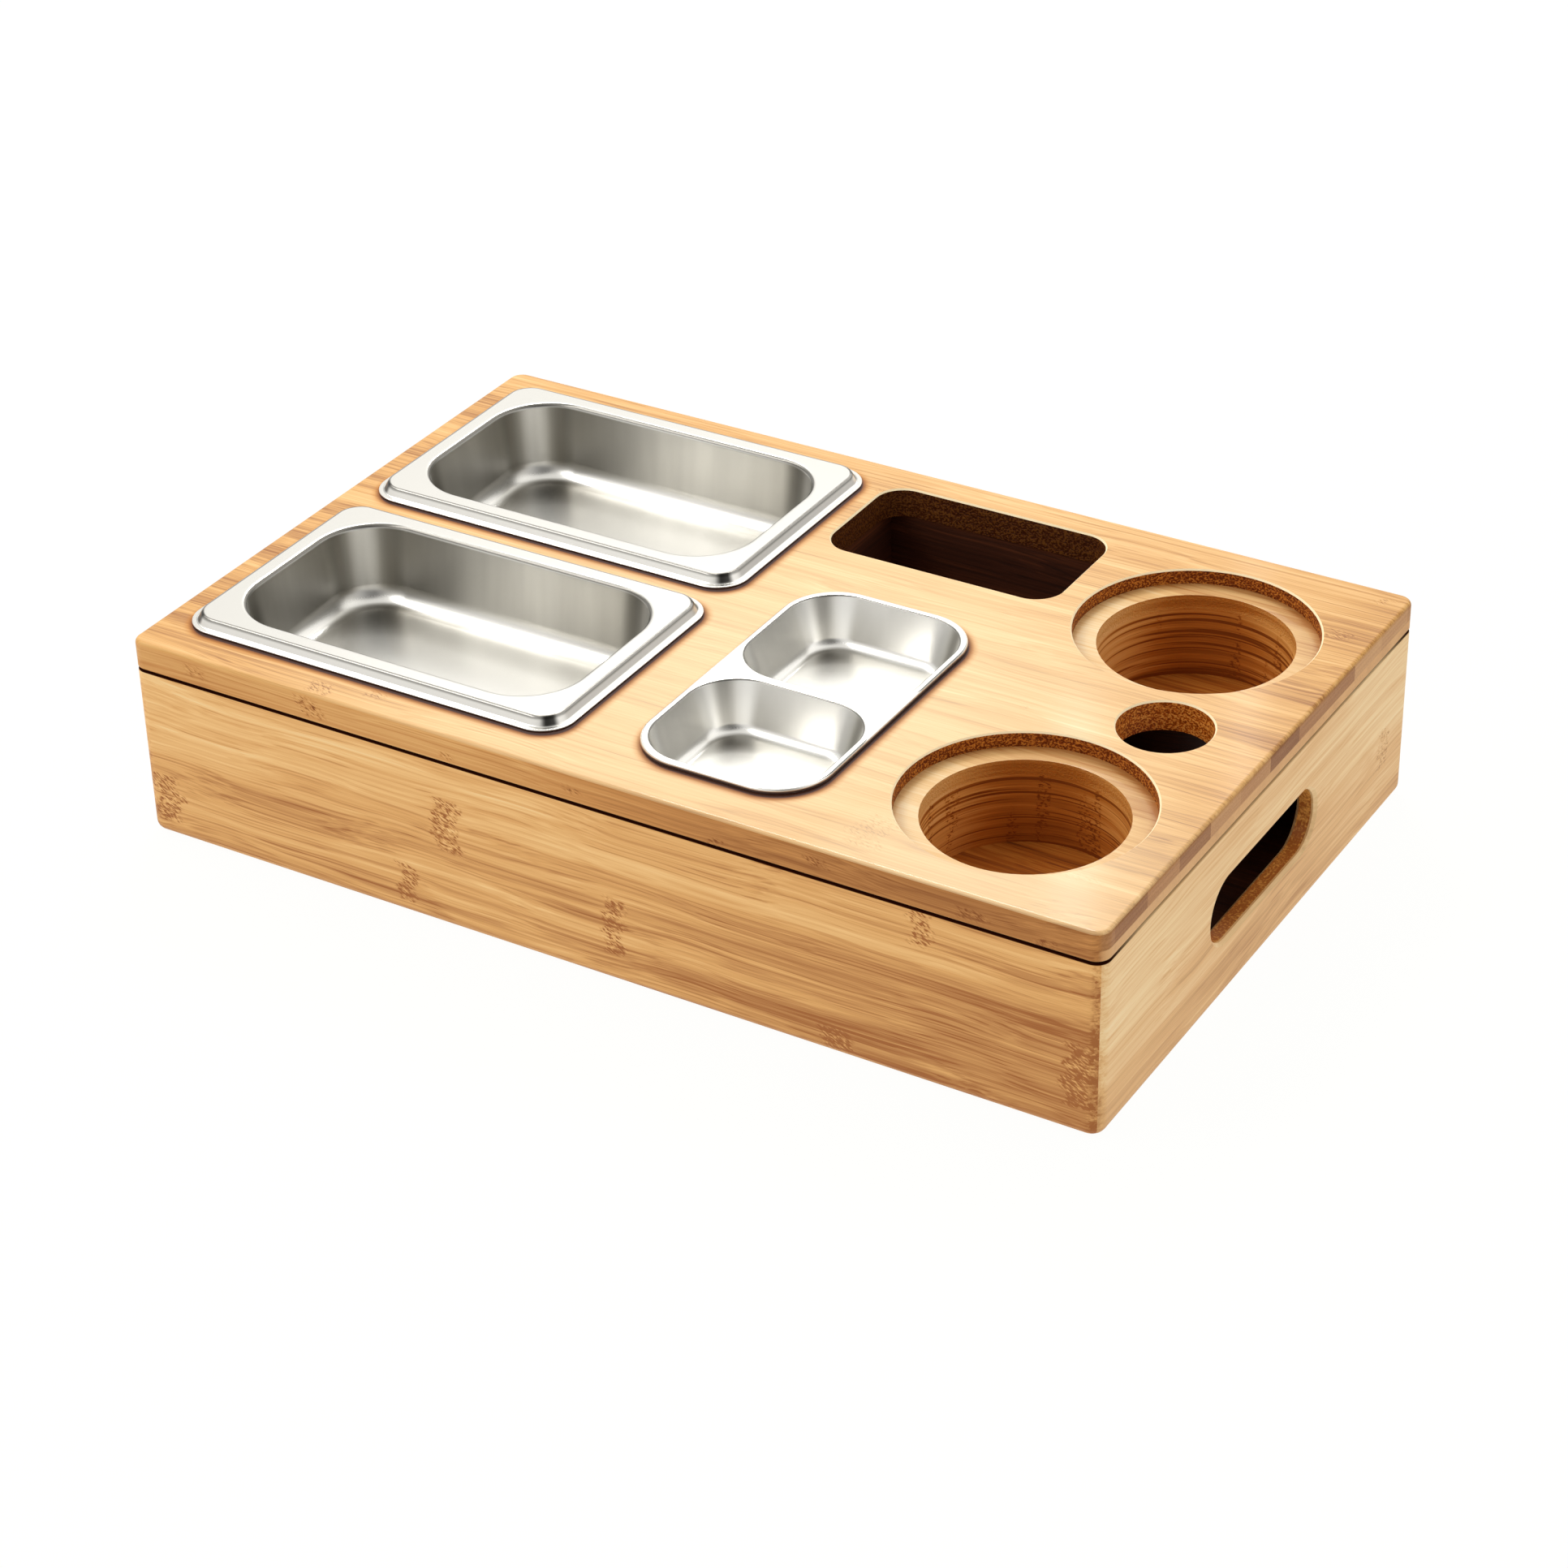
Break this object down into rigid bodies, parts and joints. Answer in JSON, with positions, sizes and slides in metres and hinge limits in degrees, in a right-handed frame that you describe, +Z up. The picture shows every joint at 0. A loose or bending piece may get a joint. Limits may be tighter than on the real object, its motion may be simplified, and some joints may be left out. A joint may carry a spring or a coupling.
{
  "type": "sofa tray organizer",
  "caption": "Bamboo box tray for a sofa with a lift-off lid that holds steel pans, a twin dish, stepped cup wells, a device pocket and a round hole; handle slots in its ends.",
  "frame": {"origin": "on the ground under the middle of the box", "axes": "+X along the box towards the cup wells, +Y from the front to the back, +Z up"},
  "size_m": [0.4, 0.255, 0.0866],
  "materials": {
    "bamboo_panel": "satin lacquer",
    "bamboo_lid": "satin lacquer",
    "bamboo_inner": "oiled",
    "stainless_steel": "satin inside, polished rim",
    "zinc_steel": "zinc plated"
  },
  "bodies": {
    "box": {"front_panel": "bamboo_panel", "back_panel": "bamboo_panel", "left_end_panel": "bamboo_panel", "right_end_panel": "bamboo_panel", "bottom_board": "bamboo_panel", "corner_block_front_left": "bamboo_inner", "corner_block_front_right": "bamboo_inner", "corner_block_back_left": "bamboo_inner", "corner_block_back_right": "bamboo_inner"},
    "lid": {"lid_board": "bamboo_lid", "front_cup_sleeve": "bamboo_inner", "rear_cup_sleeve": "bamboo_inner", "front_cup_floor": "bamboo_inner", "rear_cup_floor": "bamboo_inner", "pocket_front_wall": "bamboo_inner", "pocket_back_wall": "bamboo_inner", "pocket_left_wall": "bamboo_inner", "pocket_right_wall": "bamboo_inner", "pocket_floor": "bamboo_inner", "front_cleat": "bamboo_inner", "back_left_cleat": "bamboo_inner", "back_right_cleat": "bamboo_inner", "left_cleat": "bamboo_inner", "right_cleat": "bamboo_inner", "cleat_screws": "zinc_steel"},
    "front_pan": {"front_pan": "stainless_steel"},
    "rear_pan": {"rear_pan": "stainless_steel"},
    "twin_dish": {"twin_dish": "stainless_steel"}
  },
  "joints": [
    {"name": "lid_lift", "type": "slide", "parent": "box", "child": "lid", "axis": [0, 0, 1], "range_m": [0, 0.05]},
    {"name": "front_pan_lift", "type": "slide", "parent": "lid", "child": "front_pan", "axis": [0, 0, 1], "range_m": [0, 0.045]},
    {"name": "rear_pan_lift", "type": "slide", "parent": "lid", "child": "rear_pan", "axis": [0, 0, 1], "range_m": [0, 0.045]},
    {"name": "twin_dish_lift", "type": "slide", "parent": "lid", "child": "twin_dish", "axis": [0, 0, 1], "range_m": [0, 0.03]}
  ]
}
